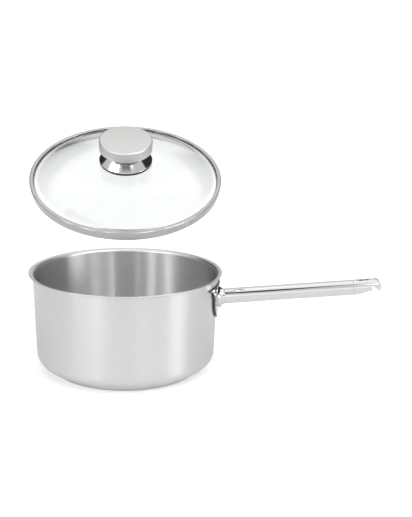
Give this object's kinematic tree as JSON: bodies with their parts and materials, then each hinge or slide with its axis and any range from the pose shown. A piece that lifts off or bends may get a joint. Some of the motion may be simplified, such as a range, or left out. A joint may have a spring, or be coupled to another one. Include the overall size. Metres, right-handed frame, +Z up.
{
  "type": "saucepan with glass lid",
  "caption": "Stainless saucepan with a flared pouring lip, an encapsulated base and a hanging tube handle, and a domed glass lid with a steel rim and knob that lifts off.",
  "frame": {"origin": "on the pan's axis, on the flat underside of its base", "axes": "+Z up along the pan's axis, +X along the handle, away from the pan"},
  "size_m": [0.3436, 0.1898, 0.2403],
  "materials": {
    "pan_steel": "brushed round the axis",
    "base_steel": "turned, satin",
    "polished_steel": "mirror polished stainless",
    "rim_steel": "satin",
    "knob_steel": "bright satin, spun",
    "knob_satin": "fine bead-blasted satin",
    "hidden_steel": "plain",
    "aluminium": "as pressed",
    "lid_glass": "clear tempered",
    "black_silicone": "matt",
    "knob_filler": "moulded",
    "brass": "turned"
  },
  "bodies": {
    "pan": {"pan_body": "pan_steel", "base_core": "aluminium", "base_cap": "base_steel", "bracket_plate": "polished_steel", "plate_weld_nuggets": "hidden_steel", "bracket_neck": "polished_steel", "handle_tube": "polished_steel", "handle_hook": "polished_steel"},
    "lid": {"lid_glass": "lid_glass", "lid_rim_band": "rim_steel", "knob_gasket": "black_silicone", "knob_spool": "knob_steel", "knob_cap": "knob_satin", "knob_core": "knob_filler", "knob_insert": "brass", "glass_hole_sleeve": "black_silicone", "under_glass_gasket": "black_silicone", "under_glass_washer": "hidden_steel", "screw_spring_washer": "hidden_steel", "lid_screw": "hidden_steel"}
  },
  "joints": [
    {"name": "lid_lowering", "type": "hinge", "parent": "pan", "child": "lid", "pos_m": [0.04521, -0.19585, 0.14935], "axis": [-0.9744, -0.225, 0], "range_deg": [0, 24.3]}
  ]
}
